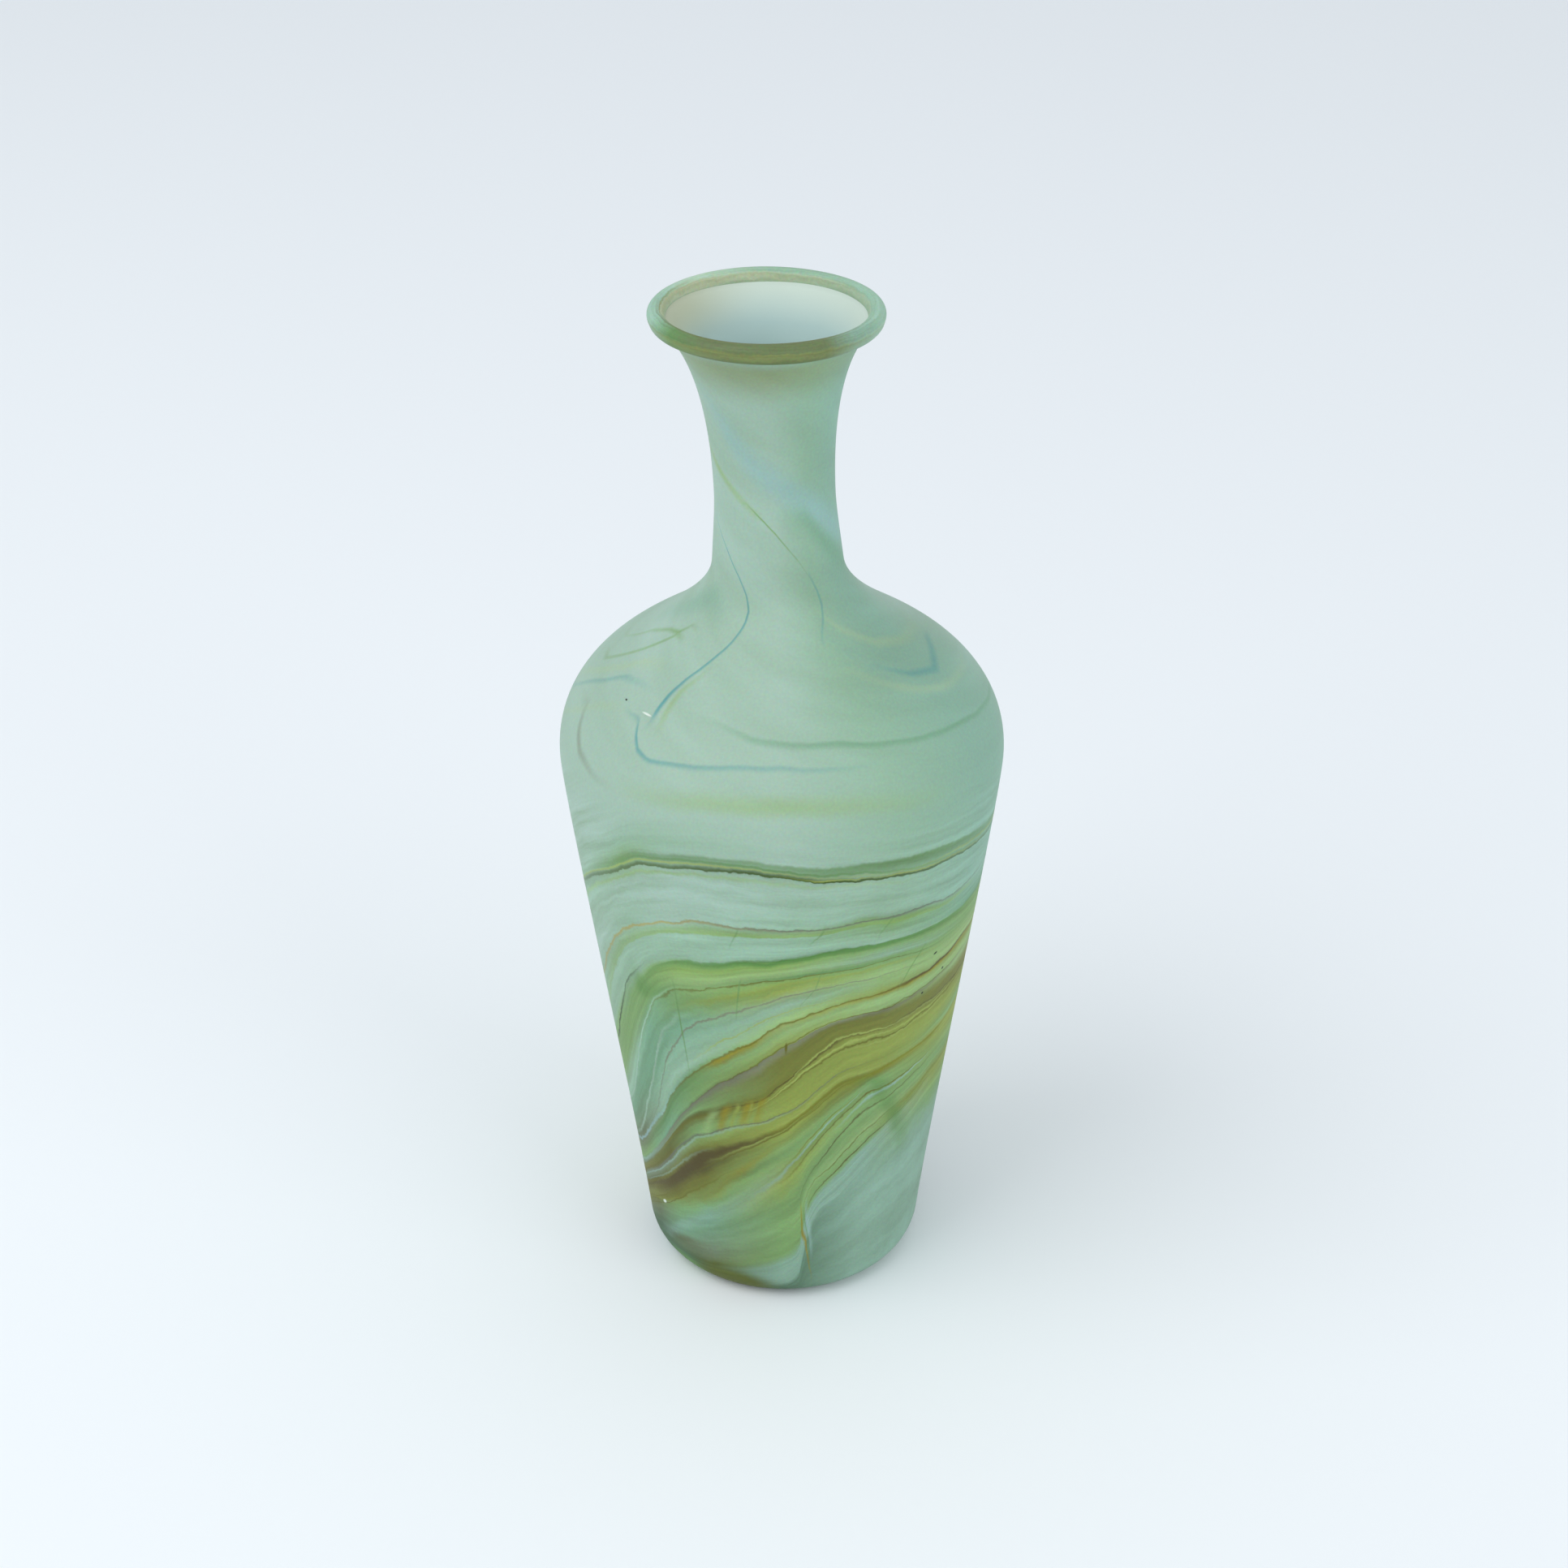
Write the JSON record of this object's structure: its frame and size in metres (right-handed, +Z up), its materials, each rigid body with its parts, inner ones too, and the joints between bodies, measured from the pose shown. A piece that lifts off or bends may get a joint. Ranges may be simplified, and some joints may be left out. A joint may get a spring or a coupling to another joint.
{
  "type": "vase",
  "caption": "Bottle-shaped blown glass vase that stands on its foot: tapered body, round shoulder, slender neck and a flared mouth with a rolled lip, for dry or fresh stems.",
  "frame": {"origin": "centre of the ring that the vase stands on, at table height", "axes": "+Z up along the axis of the neck and body; the front, where the trails fan out most, faces -Y"},
  "size_m": [0.1028, 0.1028, 0.25],
  "materials": {
    "sea_green": "acid-etched satin, translucent",
    "rim_green": "acid-etched satin, translucent",
    "olive": "acid-etched satin, translucent",
    "fawn": "acid-etched satin, translucent",
    "moss": "acid-etched satin, translucent",
    "umber": "acid-etched satin, translucent",
    "amber": "acid-etched satin, translucent",
    "milk": "acid-etched satin, translucent",
    "blue": "acid-etched satin, translucent",
    "straw": "acid-etched satin, translucent"
  },
  "bodies": {
    "root": {"glass_body": "sea_green", "lip_roll": "rim_green", "punty_scar": "sea_green", "olive_ring": "olive", "fawn_thread": "fawn", "moss_thread": "moss", "umber_thread": "umber", "amber_thread": "amber", "umber_band": "umber", "amber_band": "amber", "upper_fan": "amber", "lower_fan": "amber", "hook_thread": "amber", "fold_thread": "umber", "milk_thread": "milk", "blue_thread": "blue", "straw_thread": "straw"}
  },
  "joints": []
}
